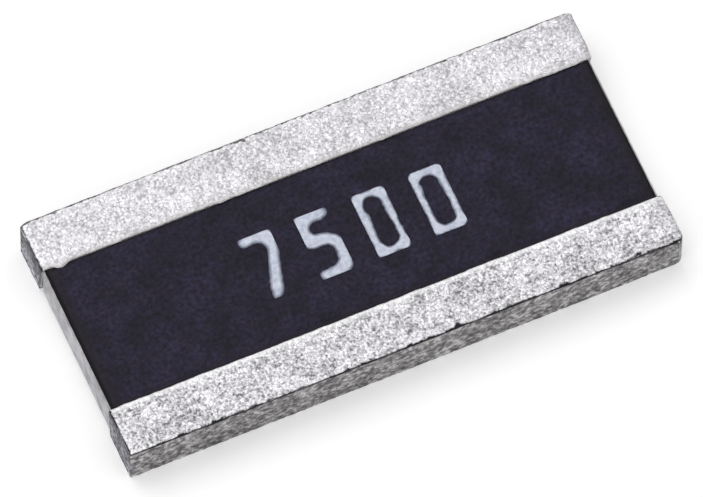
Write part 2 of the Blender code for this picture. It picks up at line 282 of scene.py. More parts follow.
def layered_noise(points, cell, seed, octaves=3):
    """A sum of noises, each half the size and half the strength of the last."""
    total = np.zeros(len(points))
    for k in range(octaves):
        total += smooth_noise(points, np.asarray(cell, float) / 2**k, seed + k) / 2**k
    return total / (2 - 0.5 ** (octaves - 1))


def peaks(noise, level):
    """The part of a noise that rises above a level, from 0 to 1."""
    return np.clip(noise - level, 0, 1) / (1 - level)


def grains(points, cell, seed):
    """The nearest grain of each point: its random number and the offset from its centre."""
    places = points / cell
    base = np.floor(places)
    best = np.full(len(points), np.inf)
    number = np.zeros(len(points))
    offset = np.zeros_like(points)
    for dx in (-1, 0, 1):
        for dy in (-1, 0, 1):
            for dz in (-1, 0, 1):
                cells = base + (dx, dy, dz)
                centre = cells + np.stack([hashed(cells, seed + k) for k in range(3)], axis=1)
                away = places - centre
                far = (away**2).sum(axis=1)
                nearer = far < best
                best[nearer] = far[nearer]
                number[nearer] = hashed(cells[nearer], seed + 3)
                offset[nearer] = away[nearer] * cell
    return number, offset


def smooth_step(values):
    """A smooth rise from 0 to 1 as values go from 0 to 1."""
    values = np.clip(values, 0, 1)
    return values * values * (3 - 2 * values)


def smooth_band(values, start, rise, end, fall):
    """1 where values lie between start and end, with a smooth rise and fall of the given widths."""
    return smooth_step((values - start) / rise) * (1 - smooth_step((values - end) / fall))


def crowded(shares):
    """Shares from 0 to 1, drawn together near both ends."""
    return shares - 0.5 * np.sin(2 * np.pi * shares) / (2 * np.pi)


def box_of(node):
    """The lowest and highest corner of a CAD node's box."""
    return [np.array(corner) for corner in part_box(node)]


def surface_lattice(counts, skip=()):
    """Grid points and quads on a box's surface, without the sides that skip names.

    A side is (axis, end). Returns whole-number points, quads and a map from point to index.
    """
    index = {}
    points = []
    quads = []

    def vertex(point):
        """The number of a grid point, new or known."""
        if point not in index:
            index[point] = len(points)
            points.append(point)
        return index[point]

    for axis in range(3):
        first, second = [(1, 2), (2, 0), (0, 1)][axis]
        for end in (0, 1):
            if (axis, end) in skip:
                continue
            for a in range(counts[first]):
                for b in range(counts[second]):
                    corners = []
                    for da, db in ((0, 0), (1, 0), (1, 1), (0, 1)):
                        point = [0, 0, 0]
                        point[axis] = counts[axis] * end
                        point[first] = a + da
                        point[second] = b + db
                        corners.append(vertex(tuple(point)))
                    quads.append(tuple(corners) if end else tuple(corners[::-1]))
    return np.array(points, float), quads, index


def rounded(points, low, high, radii):
    """Moves points on a box's surface onto the same box with rounded edges.

    Returns the moved points and the way that each one faces.
    """
    low, high, radii = (np.asarray(value, float) for value in (low, high, radii))
    core = np.clip(points, low + radii, high - radii)
    away = (points - core) / radii
    size = np.linalg.norm(away, axis=1, keepdims=True)
    size[size == 0] = 1
    normal = away / size
    moved = core + radii * normal
    outward = normal / radii
    return moved, outward / np.maximum(np.linalg.norm(outward, axis=1, keepdims=True), 1e-12)


def add_mesh(name, points, faces, material, smooth=True):
    """Makes an object of the scene from points and faces."""
    mesh = bpy.data.meshes.new(name)
    mesh.from_pydata([tuple(point) for point in points], [], faces)
    mesh.update()
    mesh.materials.append(material)
    if smooth:
        mesh.shade_smooth()
    item = bpy.data.objects.new(name, mesh)
    bpy.context.collection.objects.link(item)
    return item


def face_outwards(item):
    """Turns all faces of a closed piece outwards."""
    mesh = bmesh.new()
    mesh.from_mesh(item.data)
    bmesh.ops.recalc_face_normals(mesh, faces=mesh.faces[:])
    mesh.to_mesh(item.data)
    mesh.free()


def store(item, name, values):
    """Keeps values at a piece's points for its material: one number or one colour for each."""
    values = np.asarray(values, float)
    kind, field = ("FLOAT_COLOR", "color") if values.ndim == 2 else ("FLOAT", "value")
    item.data.attributes.new(name, kind, "POINT").data.foreach_set(field, values.ravel())


def dress(piece, slot, *nodes):
    """Lets a piece stand for CAD nodes on the chip's only body."""
    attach(piece, "root")
    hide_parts(*nodes)


class Nodes:
    """A short way to build a material's node tree."""

    def __init__(self, name):
        self.material = bpy.data.materials.new(name)
        self.material.use_nodes = True
        self.tree = self.material.node_tree
        self.shader = self.tree.nodes["Principled BSDF"]
        self.place = self.tree.nodes.new("ShaderNodeTexCoord").outputs["Object"]

    def add(self, kind, values=None, **links):
        """Adds a node, sets its properties from values and its inputs from links."""
        node = self.tree.nodes.new(kind)
        for key, value in (values or {}).items():
            setattr(node, key, value)
        for key, value in links.items():
            self.feed(node.inputs[key.replace("_", " ")], value)
        return node

    def feed(self, socket, value):
        """Links an output to a socket, or sets the socket's value."""
        if isinstance(value, bpy.types.NodeSocket):
            self.tree.links.new(value, socket)
        else:
            socket.default_value = value

    def noise(self, size, detail=3.0, roughness=0.55, stretch=(1, 1, 1), turn=(0, 0, 0)):
        """Noise with features of about the given size in metres."""
        place = self.place
        if stretch != (1, 1, 1) or turn != (0, 0, 0):
            mapping = self.add("ShaderNodeMapping", Vector=self.place)
            mapping.inputs["Scale"].default_value = [1 / s for s in stretch]
            mapping.inputs["Rotation"].default_value = turn
            place = mapping.outputs["Vector"]
        node = self.add("ShaderNodeTexNoise", Vector=place, Scale=1 / size,
                        Detail=detail, Roughness=roughness)
        return node.outputs["Fac"]

    def cells(self, size, feature="F1", output="Color"):
        """Voronoi cells of about the given size in metres."""
        node = self.add("ShaderNodeTexVoronoi", {"feature": feature}, Vector=self.place, Scale=1 / size)
        return node.outputs[output]

    def warped(self, size, amount):
        """The surface's own place, moved about by noise of the given size."""
        wobble = self.add("ShaderNodeTexNoise", Vector=self.place, Scale=1 / size, Detail=2.0)
        node = self.add("ShaderNodeVectorMath", {"operation": "MULTIPLY_ADD"})
        for socket, value in zip(node.inputs, (wobble.outputs["Color"], (amount,) * 3, self.place)):
            self.feed(socket, value)
        return node.outputs[0]

    def ramp(self, factor, *stops):
        """Colours along a factor; each stop is a position and a colour or a grey."""
        node = self.add("ShaderNodeValToRGB", Fac=factor)
        points = node.color_ramp.elements
        while len(points) < len(stops):
            points.new(1.0)
        for point, (position, colour) in zip(points, stops):
            point.position = position
            point.color = (*colour, 1) if isinstance(colour, tuple) else (colour, colour, colour, 1)
        return node.outputs["Color"]

    def mix(self, first, second, factor, blend="MIX"):
        """Mixes two colours."""
        node = self.add("ShaderNodeMix", {"data_type": "RGBA", "blend_type": blend})
        self.feed(node.inputs[0], factor)
        self.feed(node.inputs[6], first)
        self.feed(node.inputs[7], second)
        return node.outputs[2]

    def math(self, operation, first, second=0.0, third=0.0):
        """Works out a number from one to three others."""
        node = self.add("ShaderNodeMath", {"operation": operation})
        for socket, value in zip(node.inputs, (first, second, third)):
            self.feed(socket, value)
        return node.outputs[0]

    def weighed(self, total, *parts):
        """A first number plus others, each given with its weight."""
        for value, weight in parts:
            total = self.math("MULTIPLY_ADD", value, weight, total)
        return total

    def rise(self, value, start, width):
        """A number that goes from 0 to 1 while a value goes over a width from its start."""
        return self.math("MULTIPLY", self.math("SUBTRACT", value, start), 1 / width)

    def bump(self, height, distance, strength=1.0, normal=None):
        """A bump of the given depth in metres."""
        node = self.add("ShaderNodeBump", Height=height, Distance=distance, Strength=strength)
        if normal is not None:
            self.feed(node.inputs["Normal"], normal)
        return node.outputs["Normal"]

    def finish(self, colour, roughness, normal, metallic=0.0, specular=0.5):
        """Feeds the shader and returns the material."""
        self.feed(self.shader.inputs["Base Color"], colour)
        self.feed(self.shader.inputs["Roughness"], roughness)
        self.feed(self.shader.inputs["Normal"], normal)
        self.shader.inputs["Metallic"].default_value = metallic
        self.shader.inputs["Specular IOR Level"].default_value = specular
        return self.material


def tin_material(name, greys, rim_light_shade):
    """Matt tin plating: a crumpled, grained top, mottled sides and dark ragged edges, with painted light and
    shade.

    greys are the top's five tones from its gaps to its crowns, partly the tin's own grain and partly painted
    shade and highlight on its crumple, and rim_light_shade is the painted light of its inner rim.
    The mesh's zones hold the sides and the left end, which are painted darker than the top as shade, the
    dark line's painted shade and, as alpha, the rim's painted light.
    """
    make = Nodes(name)
    zones = make.add("ShaderNodeAttribute", {"attribute_name": "zones"}).outputs
    lip_highlight = make.add("ShaderNodeAttribute", {"attribute_name": "lip_highlight"}).outputs["Fac"]
    wall, end, edge = make.add("ShaderNodeSeparateColor", Color=zones["Color"]).outputs
    make.place = make.warped(50e-6, 18e-6)
    fine = make.noise(27e-6, detail=1.5, roughness=0.6)
    middle = make.noise(75e-6, detail=2.0)
    large = make.noise(0.30e-3, detail=2.0)
    facet = make.add("ShaderNodeSeparateColor", Color=make.cells(40e-6)).outputs[0]
    crease = make.cells(46e-6, "DISTANCE_TO_EDGE", "Distance")

    # The top: five tones, partly painted shade and highlight on its crumple, painted shade in the folds, a
    # painted highlight on the lip and the rim's painted light
    mixed = make.weighed(-1.12, (facet, 0.24), (large, 0.6), (middle, 0.8), (fine, 1.6))
    top = make.ramp(mixed, *[
        (place, (tone, 0.98 * tone, 1.02 * tone)) for place, tone in zip(TONE_STOPS, greys)])
    # The folds are painted darker as shade in the creases of the crumple
    shaded_folds = make.math("MULTIPLY", make.ramp(crease, (0.0, 1.0), (0.13, 0.0)),
                      make.ramp(middle, (0.46, 0.0), (0.58, 1.0)))
    top = make.mix(top, (0.50, 0.49, 0.52, 1), make.math("MULTIPLY", shaded_folds, 0.8), "MULTIPLY")
    # Painted highlight on the lip inside the dark line
    top = make.mix(top, (0.96, 0.96, 0.97, 1), make.math("MULTIPLY", lip_highlight, 0.7))
    # Painted light at the inner rim: a highlight on the front cap, shade on the rear one
    top = make.mix(top, (*rim_light_shade, 1), make.math("MULTIPLY", zones["Alpha"], 0.7))

    # The sides and the left end, painted darker than the top as shade; the left end's painted shade deepens
    # with its height
    streak = make.noise(42e-6, detail=2.0, roughness=0.65, stretch=(1.35, 1.0, 1.0), turn=(0, 0.5, 0))
    rough = make.weighed(-1.50, (large, 0.9), (middle, 0.9), (streak, 2.2))
    # The long sides have streaks of their own, with tones painted darker than the top as shade
    side = make.ramp(rough, *zip(TONE_STOPS, TIN_SIDE_TONES))
    # The left end's dark tones are a painted dark reflection, deepened towards its top as painted shade
    shaded_cap_end = make.ramp(rough, *zip(TONE_STOPS[::2], TIN_END_TONES))
    height = make.add("ShaderNodeSeparateXYZ", Vector=make.place).outputs["Z"]
    shade = make.ramp(make.rise(height, 0.12e-3, 0.38e-3), (0.0, 1.25), (1.0, 0.45))
    shaded_cap_end = make.mix(shaded_cap_end, shade, 1.0, "MULTIPLY")

    colour = make.mix(top, side, wall)
    colour = make.mix(colour, shaded_cap_end, end)
    # Painted shade of the dark line and of the upright corner
    colour = make.mix(colour, SHADE_LINE_COLOUR, edge)
    roughness = make.ramp(mixed, (0.2, 0.62), (0.8, 0.44))
    crumple = make.math("ADD", mixed, make.math("MULTIPLY", shaded_folds, -0.5))
    return make.finish(colour, roughness, make.bump(crumple, 3.0e-6), metallic=1.0)


def coat_material():
    """Blue-black matt coat: mottled, with small pits painted darker as shade, and with bands along its
    edges, of which the outermost is painted shade.
    """
    make = Nodes("protective_coat")
    cloud = make.noise(0.32e-3, detail=3.0)
    fine = make.noise(30e-6, detail=2.0)
    pits = make.cells(0.16e-3, output="Distance")
    mottle = make.noise(48e-6, detail=2.0, roughness=0.6)
    tint = make.noise(0.11e-3, detail=2.0)
    colour = make.ramp(tint, (0.3, (0.0175, 0.0130, 0.0270)), (0.7, (0.0150, 0.0135, 0.0320)))
    colour = make.mix(colour, make.ramp(mottle, (0.30, 0.45), (0.70, 1.55)), 1.0, "MULTIPLY")
    colour = make.mix(colour, make.ramp(cloud, (0.30, 0.55), (0.70, 1.45)), 1.0, "MULTIPLY")
    place = make.add("ShaderNodeSeparateXYZ", Vector=make.place).outputs
    for axis, waver, start, width, shade, strength in COAT_BANDS:
        distance = make.math("MULTIPLY_ADD", cloud, waver, make.math("ABSOLUTE", place[axis]))
        inside = make.ramp(make.rise(distance, start, width), (0.0, 0.0), (1.0, strength))
        colour = make.mix(colour, shade, inside)
    # The pits are painted near black as shade in their hollows
    hole = make.ramp(pits, (0.02, 0.0), (0.055, 1.0))
    colour = make.mix((0.004, 0.004, 0.006, 1), colour, hole)
    roughness = make.ramp(cloud, (0.3, 0.50), (0.7, 0.60))
    height = make.math("ADD", make.math("MULTIPLY", fine, 0.5), hole)
    normal = make.bump(height, 3.0e-6, normal=make.bump(cloud, 6e-6))
    return make.finish(colour, roughness, normal, specular=0.17)


def ceramic_material():
    """Fired alumina: pale grey-lavender with fine grain."""
    make = Nodes("ceramic")
    cloud = make.noise(0.17e-3, detail=4.0, roughness=0.6)
    fine = make.noise(14e-6, detail=2.0)
    colour = make.ramp(cloud, (0.28, (0.28, 0.27, 0.29)), (0.5, (0.455, 0.445, 0.47)),
                       (0.72, (0.66, 0.65, 0.68)))
    normal = make.bump(make.math("ADD", fine, cloud), 3e-6)
    return make.finish(colour, 0.6, normal)


def ink_material():
    """Pale blue-grey ink, darker at the edge of a stroke: partly where it is thinner over the dark coat and
    partly painted shade of its raised relief.
    """
    make = Nodes("mark_ink")
    depth = make.add("ShaderNodeAttribute", {"attribute_name": "depth"}).outputs["Fac"]
    cloud = make.noise(60e-6, detail=3.0)
    body = make.ramp(cloud, (0.3, (0.48, 0.52, 0.64)), (0.7, (0.74, 0.775, 0.89)))
    # Stroke edges painted darker: partly thin ink over the coat, partly painted shade of the relief
    thin = make.ramp(depth, (0.0, 1.0), (0.75, 0.0))
    colour = make.mix(body, (0.15, 0.17, 0.25, 1), thin)
    crown = make.math("POWER", make.math("MULTIPLY", depth, make.math("SUBTRACT", 2.0, depth)), 0.5)
    normal = make.bump(make.math("MULTIPLY_ADD", cloud, 0.3, crown), 60e-6)
    return make.finish(colour, 0.5, normal, specular=0.3)


def inner_material(name, colour, metallic):
    """A fired or plated layer that the plating and the coat hide."""
    make = Nodes(name)
    cloud = make.noise(40e-6, detail=3.0)
    dark = tuple(0.8 * part for part in colour)
    tint = make.ramp(cloud, (0.3, dark), (0.7, colour))
    return make.finish(tint, 0.5, make.bump(cloud, 1e-6), metallic=metallic)


def wavy_rim(x, height, side):
    """How far the tin's rim reaches towards the chip's middle past its straight line."""
    line = np.stack([x, np.full_like(x, 1e-3 * (side + 3)), height * 0.2e-3], axis=1)
    rough = RIM_ROUGHNESS[side]
    wave = rough * RIM_REACH * (0.15 + 0.9 * layered_noise(line, RIM_WAVE, SEED + 40, 2))
    ragged = rough * RIM_RAGGED * layered_noise(line, RIM_RAG, SEED + 44, 3)
    ends = smooth_step((RIM_END - np.abs(x)) / RIM_END_FADE)
    reach = np.clip(wave + ragged, RIM_LEAST, None) * ends
    if side > 0:
        lobe = LOBE_REACH * np.exp(-((x - LOBE_PLACE) / LOBE_WIDTH) ** 2)
        reach = reach + lobe * np.clip(height, 0, 1) ** 2
    return reach


def edge_shade_and_lip_highlight(skin, low, high, side):
    """The painted shade of the dark ragged line along the top's outer edges and the painted highlight of the
    bright lip inside it, from 0 to 1.

    A point's run is negative on the top, 0 at its edge and positive down the side.
    """
    outer = low[1] if side < 0 else high[1]
    to_side = np.abs(skin[:, 1] - outer)
    to_end = skin[:, 0] - low[0]
    below = high[2] - skin[:, 2]
    run = below - np.minimum(to_side, to_end - CREASE_INSET)
    along = skin * (1, 1, 0)
    crease = 1.0 * (to_end - CREASE_INSET < to_side)

    # Its upper border breaks off in slabs and notches, more calmly in the crease at the left end
    notch = peaks(layered_noise(along, NOTCH, SEED + 56, 2), NOTCH_LEVEL)
    uneven = 0.5 * layered_noise(along, 0.05e-3, SEED + 65)[:, None]
    slab = hashed(np.floor(along / SLAB + uneven), SEED + 64)
    calm = 1 - CREASE_CALM * crease
    upper = -LINE_RISE - calm * (SLAB_RISE * slab**2 + NOTCH_RISE * notch)
    upper = upper - LINE_RAGGED * layered_noise(along, 0.030e-3, SEED + 50, 2)

    # Its lower border wanders, and lies lower towards the right end
    lower = LINE_FALL - CREASE_SHORT * crease + LINE_WANDER * layered_noise(along, 0.15e-3, SEED + 53, 3)
    lower += RIGHT_FALL * smooth_step((skin[:, 0] - RIGHT_START) / RIGHT_BLEND)

    dark = smooth_band(run, upper, LINE_SHARPNESS, lower, LINE_BLUR)
    dark *= np.clip(1.05 + 0.6 * layered_noise(along, 0.20e-3, SEED + 58, 2), 0.7, 1)
    dark *= smooth_step((high[0] - skin[:, 0]) / LINE_END)
    # Painted shade in the dark upright corner at the left end
    corner = 1 - smooth_step((np.maximum(to_side, to_end) - CORNER_START) / CORNER_BLUR)
    corner *= 0.75 * np.clip(0.6 + layered_noise(skin, 0.09e-3, SEED + 60, 2), 0, 1)
    # Painted highlight on the bright lip just inside the dark line
    lip_highlight = smooth_band(-run, *LIP_BAND) * (below < LIP_DEPTH)
    lip_highlight *= np.clip(0.2 + 0.9 * layered_noise(along, 0.10e-3, SEED + 62, 3), 0, 1)
    return np.maximum(dark, corner), lip_highlight


def tin_skin(side, low, high, pad_rim, nickel_end):
    """The outside of a tin cap, which is open towards the chip's middle.

    Returns its points and quads, the rim's point numbers in order with their shares along x and z,
    and the values that the material needs: the zones and the lip's painted highlight.
    """
    span = high - low
    counts = np.maximum(1, np.round(span / TIN_PITCH)).astype(int)
    lattice, quads, index = surface_lattice(counts, skip={(1, 0 if side > 0 else 1)})
    shares = lattice / counts
    shares[:, 1:] = crowded(shares[:, 1:])
    box = low + shares * span

    # The rim leans: it stands further in on the top than on the pad
    outer_y, top_rim = (high[1], low[1]) if side > 0 else (low[1], high[1])
    rim_y = pad_rim + (top_rim - pad_rim) * shares[:, 2]
    box[:, 1] = outer_y + (box[:, 1] - outer_y) * (rim_y - outer_y) / (top_rim - outer_y)

    # The rounded box runs on past the rim, so that only the closed side is rounded there
    reach_low, reach_high = low.copy(), high.copy()
    if side > 0:
        reach_low[1] -= PAST_RIM
    else:
        reach_high[1] += PAST_RIM
    blunt = np.clip((-side * box[:, 0] - BLUNT_START) / BLUNT_BLEND, 0, 1)[:, None]
    radii = np.array(TIN_RADII[side]) * (1 - blunt) + np.array(BLUNT_RADII) * blunt
    smooth, outward = rounded(box, reach_low, reach_high, radii)
    height = (smooth[:, 2] - low[2]) / span[2]
    depth = np.abs(smooth[:, 1] - rim_y)
    edge, lip_highlight = edge_shade_and_lip_highlight(smooth, low, high, side)

    # Plated grain, broad swell, nicks and the groove of the dark line
    number, offset = grains(smooth, GRAIN, SEED)
    keys = np.stack([number * 9973, number * 7919, number * 6101], axis=1)
    tilt = np.stack([hashed(keys, SEED + k) for k in (11, 12, 13)], axis=1) - 0.5
    lift = GRAIN_LIFT * (number - 0.5) + GRAIN_TILT * (tilt * offset).sum(axis=1)
    lift += SWELL_LIFT * layered_noise(smooth, SWELL, SEED + 20)
    bend = np.sort(np.abs(outward), axis=1)[:, 1]
    worn = peaks(layered_noise(smooth, NICK, SEED + 30), NICK_LEVEL)
    lift -= NICK_DEPTH * worn * np.clip(bend / NICK_BEND, 0, 1) + GROOVE_DEPTH * edge
    skin = smooth + outward * (lift - 2 * GRAIN_LIFT)[:, None]

    # The ends draw in, but never into the nickel; the long side draws in and the rim sinks
    flare = np.clip(1 - depth / FLARE_FADE, 0, 1) ** 2
    skin[:, 0] -= END_FLARE * flare * outward[:, 0] ** 3
    skin[:, 0] += LEFT_DRAWN * np.clip(-outward[:, 0], 0, 1)
    ends = np.abs(outward[:, 0]) > END_FACING
    cover = np.maximum(np.abs(skin[ends, 0]), nickel_end + LEAST_COVER)
    skin[ends, 0] = np.sign(skin[ends, 0]) * cover
    skin = np.clip(skin, low, high)
    skin[:, 1] -= side * SIDE_DRAWN[side] * np.abs(outward[:, 1])
    skin[:, 2] -= RIM_DROP * np.clip(1 - depth / RIM_ROLL, 0, 1) ** 2 * np.clip(outward[:, 2], 0, 1)
    skin = np.clip(skin, smooth - TIN_ROOM, smooth + TIN_ROOM)
    skin[:, 1] -= side * wavy_rim(skin[:, 0], height, side) * smooth_step(1 - depth / RIM_FADE)

    # Zones for the material: the sides and the right end, the left end, the dark line's painted shade and,
    # as alpha, where the rim's painted light goes
    zones = np.stack([
        np.clip((np.maximum(np.abs(outward[:, 1]), outward[:, 0]) - 0.45) / 0.3, 0, 1),
        np.clip((-outward[:, 0] - 0.30) / 0.15, 0, 1),
        edge * LINE_STRENGTH[side],
        smooth_step(1.3 - depth / RIM_LIGHT_WIDTH) * np.clip(outward[:, 2], 0, 1),
    ], axis=1)

    nx, ny, nz = counts
    row = 0 if side > 0 else ny
    around = [(i, row, nz) for i in range(nx)] + [(nx, row, k) for k in range(nz, 0, -1)]
    around += [(i, row, 0) for i in range(nx, 0, -1)] + [(0, row, k) for k in range(nz)]
    rim = [index[point] for point in around]
    return skin, quads, rim, shares[rim][:, (0, 2)], zones, lip_highlight


def cavity_rings(rim_y, shares, side, low, high):
    """The rings of a cap's hollow from its mouth to its closed wall, around the nickel's box.

    rim_y is the mouth's uneven line, and shares say where its points lie along x and z.
    """
    wall_y = high[1] if side > 0 else low[1]

    def ring(y, inset, corner):
        """One ring: its y, how far it is drawn in, and whether its corners are rounded."""
        start, end = low[[0, 2]] + inset, high[[0, 2]] - inset
        flat = start + shares * (end - start)
        if corner:
            core = np.clip(flat, start + CAVITY_ROUND, end - CAVITY_ROUND)
            away = flat - core
            far = np.maximum(np.linalg.norm(away, axis=1, keepdims=True), CAVITY_ROUND)
            flat = core + away / far * CAVITY_ROUND
        return np.stack([flat[:, 0], np.broadcast_to(y, len(flat)), flat[:, 1]], axis=1)

    rings = [ring(rim_y, 0.0, False)]
    for off_wall, inset in CAVITY_RINGS:
        rings.append(ring(wall_y - side * off_wall * CAVITY_ROUND, inset * CAVITY_ROUND, True))
    return rings


def add_tin(side, name, material):
    """One tin cap: side is -1 for the front terminal and 1 for the rear one."""
    low, high = box_of(f"tin_plating_{name}")
    inner_low, inner_high = box_of(f"nickel_barrier_{name}")
    pad_low, pad_high = box_of(f"bottom_electrode_{name}")
    pad_rim = pad_low[1] if side > 0 else pad_high[1]
    skin, quads, rim, rim_shares, zones, lip_highlight = tin_skin(side, low, high, pad_rim, inner_high[0])

    points = [skin]
    faces = list(quads)
    last = rim
    total = len(skin)
    for ring in cavity_rings(skin[rim, 1], rim_shares, side, inner_low, inner_high):
        points.append(ring)
        here = list(range(total, total + len(ring)))
        total += len(ring)
        for k in range(len(here)):
            n = (k + 1) % len(here)
            faces.append((last[k], last[n], here[n], here[k]))
        last = here
    faces.append(tuple(last))

    item = add_mesh(f"tin_cap_{name}", np.concatenate(points), faces, material)
    face_outwards(item)
    hollow = total - len(skin)
    store(item, "zones", np.concatenate([zones, np.tile((0.0, 1.0, 0.0, 0.0), (hollow, 1))]))
    store(item, "lip_highlight", np.concatenate([lip_highlight, np.zeros(hollow)]))
    dress(item, "tin", f"tin_plating_{name}")


def add_plate(material):
    """The ceramic plate, with snapped ends that stand out a little between the caps."""
    low, high = box_of("ceramic_substrate")
    lattice, quads, _ = surface_lattice(PLATE_COUNTS)
    box = low + lattice / np.array(PLATE_COUNTS) * (high - low)
    skin, outward = rounded(box, low, high, (PLATE_RADIUS,) * 3)
    rough = layered_noise(skin, SNAP_GRAIN, SEED + 60, 4)
    skin = skin + outward * (np.abs(outward[:, 0]) * SNAP_ROUGH * (rough - 1))[:, None]
    front = skin[:, 1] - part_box("tin_plating_front")[1][1]
    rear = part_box("tin_plating_rear")[0][1] - skin[:, 1]
    bare = smooth_step((np.minimum(front, rear) + SNAP_FADE) / SNAP_FADE)
    near_end = smooth_step((np.abs(skin[:, 0]) - SNAP_START) / SNAP_RISE)
    skin[:, 0] += np.sign(skin[:, 0]) * SNAP_BULGE * bare * near_end
    room = np.array((SNAP_BULGE, 0, 0))
    item = add_mesh("ceramic_plate", np.clip(skin, low - room, high + room), quads, material)
    face_outwards(item)
    dress(item, "ceramic", "ceramic_substrate")


def coat_heights(gx, gy, flat, low, high):
    """The height of the coat's top and underside over each of its points."""
    plate_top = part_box("ceramic_substrate")[1][2]
    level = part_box("marking_digit_1")[0][2] - plate_top
    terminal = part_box("top_electrode_front")[1][2] - plate_top
    strip = np.maximum(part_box("top_electrode_front")[1][1] - gy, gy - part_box("top_electrode_rear")[0][1])
    lap = terminal * np.clip(strip / LAP_SLOPE, 0, 1)
    edge = np.minimum.reduce([gx - low[0], high[0] - gx, gy - low[1], high[1] - gy])
    own = (level - lap) * np.sin(np.pi / 2 * np.clip(edge / COAT_FEATHER, 0, 1))
    ripple = 0.7e-6 * layered_noise(flat, 0.06e-3, SEED + 80)
    ripple += 1.2e-6 * layered_noise(flat, 0.5e-3, SEED + 84)
    pits = peaks(smooth_noise(flat, PIT, SEED + 88), PIT_LEVEL)
    uneven = (ripple - COAT_SINK - PIT_DEPTH * pits) * np.clip(own / RIPPLED_FROM, 0, 1)
    top = np.clip(plate_top + lap + own + uneven, plate_top + COAT_LEAST, high[2])
    bottom = plate_top + np.minimum(lap, np.maximum(top - plate_top - 1e-6, 0)) * 0.98
    return top, bottom


def add_coat(material):
    """The protective coat: a thin skin over the glass, thinning out at its edges."""
    low, high = box_of("protective_overcoat")
    low[0] -= COAT_OVERRUN
    high[0] += COAT_OVERRUN
    span = high - low
    wide, deep = (int(round(span[axis] / COAT_PITCH / INNER_STEP)) for axis in (0, 1))
    nx, ny = wide * INNER_STEP, deep * INNER_STEP
    xs = low[0] + np.arange(nx + 1) / nx * span[0]
    ys = low[1] + np.arange(ny + 1) / ny * span[1]
    gx, gy = (grid.ravel() for grid in np.meshgrid(xs, ys, indexing="ij"))
    flat = np.stack([gx, gy, np.zeros_like(gx)], axis=1)
    top, bottom = coat_heights(gx, gy, flat, low, high)

    # The ends are a little ragged
    drawn = COAT_RAGGED * (0.5 + 0.5 * layered_noise(flat, COAT_RAG, SEED + 92, 3))
    gx = gx - np.sign(gx) * drawn * np.clip(1 - (high[0] - np.abs(gx)) / COAT_RAG_REACH, 0, 1)

    def fine(i, j):
        """The number of a point of the fine upper grid."""
        return i * (ny + 1) + j

    points = [np.stack([gx, gy, top], axis=1)]
    faces = []
    for i in range(nx):
        for j in range(ny):
            faces.append((fine(i, j), fine(i + 1, j), fine(i + 1, j + 1), fine(i, j + 1)))

    # The underside has the same outline in longer steps
    lower = {}
    for i in range(wide + 1):
        for j in range(deep + 1):
            source = fine(i * INNER_STEP, j * INNER_STEP)
            lower[i, j] = len(gx) + len(lower)
            points.append(np.array([[gx[source], gy[source], bottom[source]]]))
    for i in range(wide):
        for j in range(deep):
            faces.append((lower[i, j], lower[i, j + 1], lower[i + 1, j + 1], lower[i + 1, j]))

    def add_wall(i, j, di, dj, turn):
        """One face between a step of the underside's outline and the fine steps above it."""
        upper = [fine(i * INNER_STEP + k * di, j * INNER_STEP + k * dj) for k in range(INNER_STEP + 1)]
        faces.append(tuple(([lower[i, j], lower[i + di, j + dj]] + upper[::-1])[::turn]))

    for i in range(wide):
        add_wall(i, 0, 1, 0, 1)
        add_wall(i, deep, 1, 0, -1)
    for j in range(deep):
        add_wall(0, j, 0, 1, -1)
        add_wall(wide, j, 0, 1, 1)
    item = add_mesh("protective_coat", np.concatenate(points), faces, material)
    face_outwards(item)
    dress(item, "overcoat", "protective_overcoat")


def stroke_path(corners, closed):
    """Evenly spaced points along a stroke."""
    path = np.array(corners + corners[:1] if closed else corners, float)
    runs = np.concatenate([[0], np.cumsum(np.linalg.norm(np.diff(path, axis=0), axis=1))])
    steps = int(round(runs[-1] / STROKE_STEP))
    places = np.linspace(0, runs[-1], steps + 1)
    even = np.stack([np.interp(places, runs, path[:, axis]) for axis in (0, 1)], axis=1)
    return even[:-1] if closed else even


def ink_pools(corners, closed):
    """Where ink gathers inside a stroke's corners, and how strongly: more in sharper ones."""
    pools = []
    for k, (x, y) in enumerate(corners):
        if closed or 0 < k < len(corners) - 1:
            before = np.array(corners[k - 1]) - (x, y)
            after = np.array(corners[(k + 1) % len(corners)]) - (x, y)
            turn = 1 + before @ after / np.linalg.norm(before) / np.linalg.norm(after)
            inward = before / np.linalg.norm(before) + after / np.linalg.norm(after)
            inward = inward / np.linalg.norm(inward) * INK_POOL_INSET * STROKE
            pools.append((x + inward[0], y + inward[1], INK_POOL * min(1.0, turn)))
    return pools


def ink_field(places, path, corners, closed, seed):
    """How strongly the ink of a stroke is felt at each place: 1 on its line, less away from it.

    The pulls of nearby runs add up, so that ink pools in corners and where strokes meet.
    """
    line = np.concatenate([path, np.full((len(path), 1), seed * 1e-3)], axis=1)
    wander = STROKE_WANDER * layered_noise(line, 0.15e-3, SEED + 100 + seed, 2)
    half = STROKE / 2 * (STROKE_HALVES[closed] + wander)
    weight = np.full(len(path), STROKE_STEP)
    if not closed:
        weight[[0, -1]] = STROKE_END * STROKE
    ragged = []
    for k in (0, 1):
        spread = np.concatenate([places, np.full((len(places), 1), (k + 3) * 1e-3)], axis=1)
        ragged.append(INK_RAGGED * layered_noise(spread, INK_RAG, SEED + 140 + seed, 3))
    places = places + np.stack(ragged, axis=1)
    total = np.zeros(len(places))
    for (x, y), width, share in zip(path, half * INK_SPREAD, weight):
        away = (places[:, 0] - x) ** 2 + (places[:, 1] - y) ** 2
        total += share / (math.sqrt(math.pi) * width) * np.exp(-away / width**2)
    for x, y, strength in ink_pools(corners, closed):
        away = (places[:, 0] - x) ** 2 + (places[:, 1] - y) ** 2
        total += strength * np.exp(-away / INK_POOL_SIZE**2)
    return total


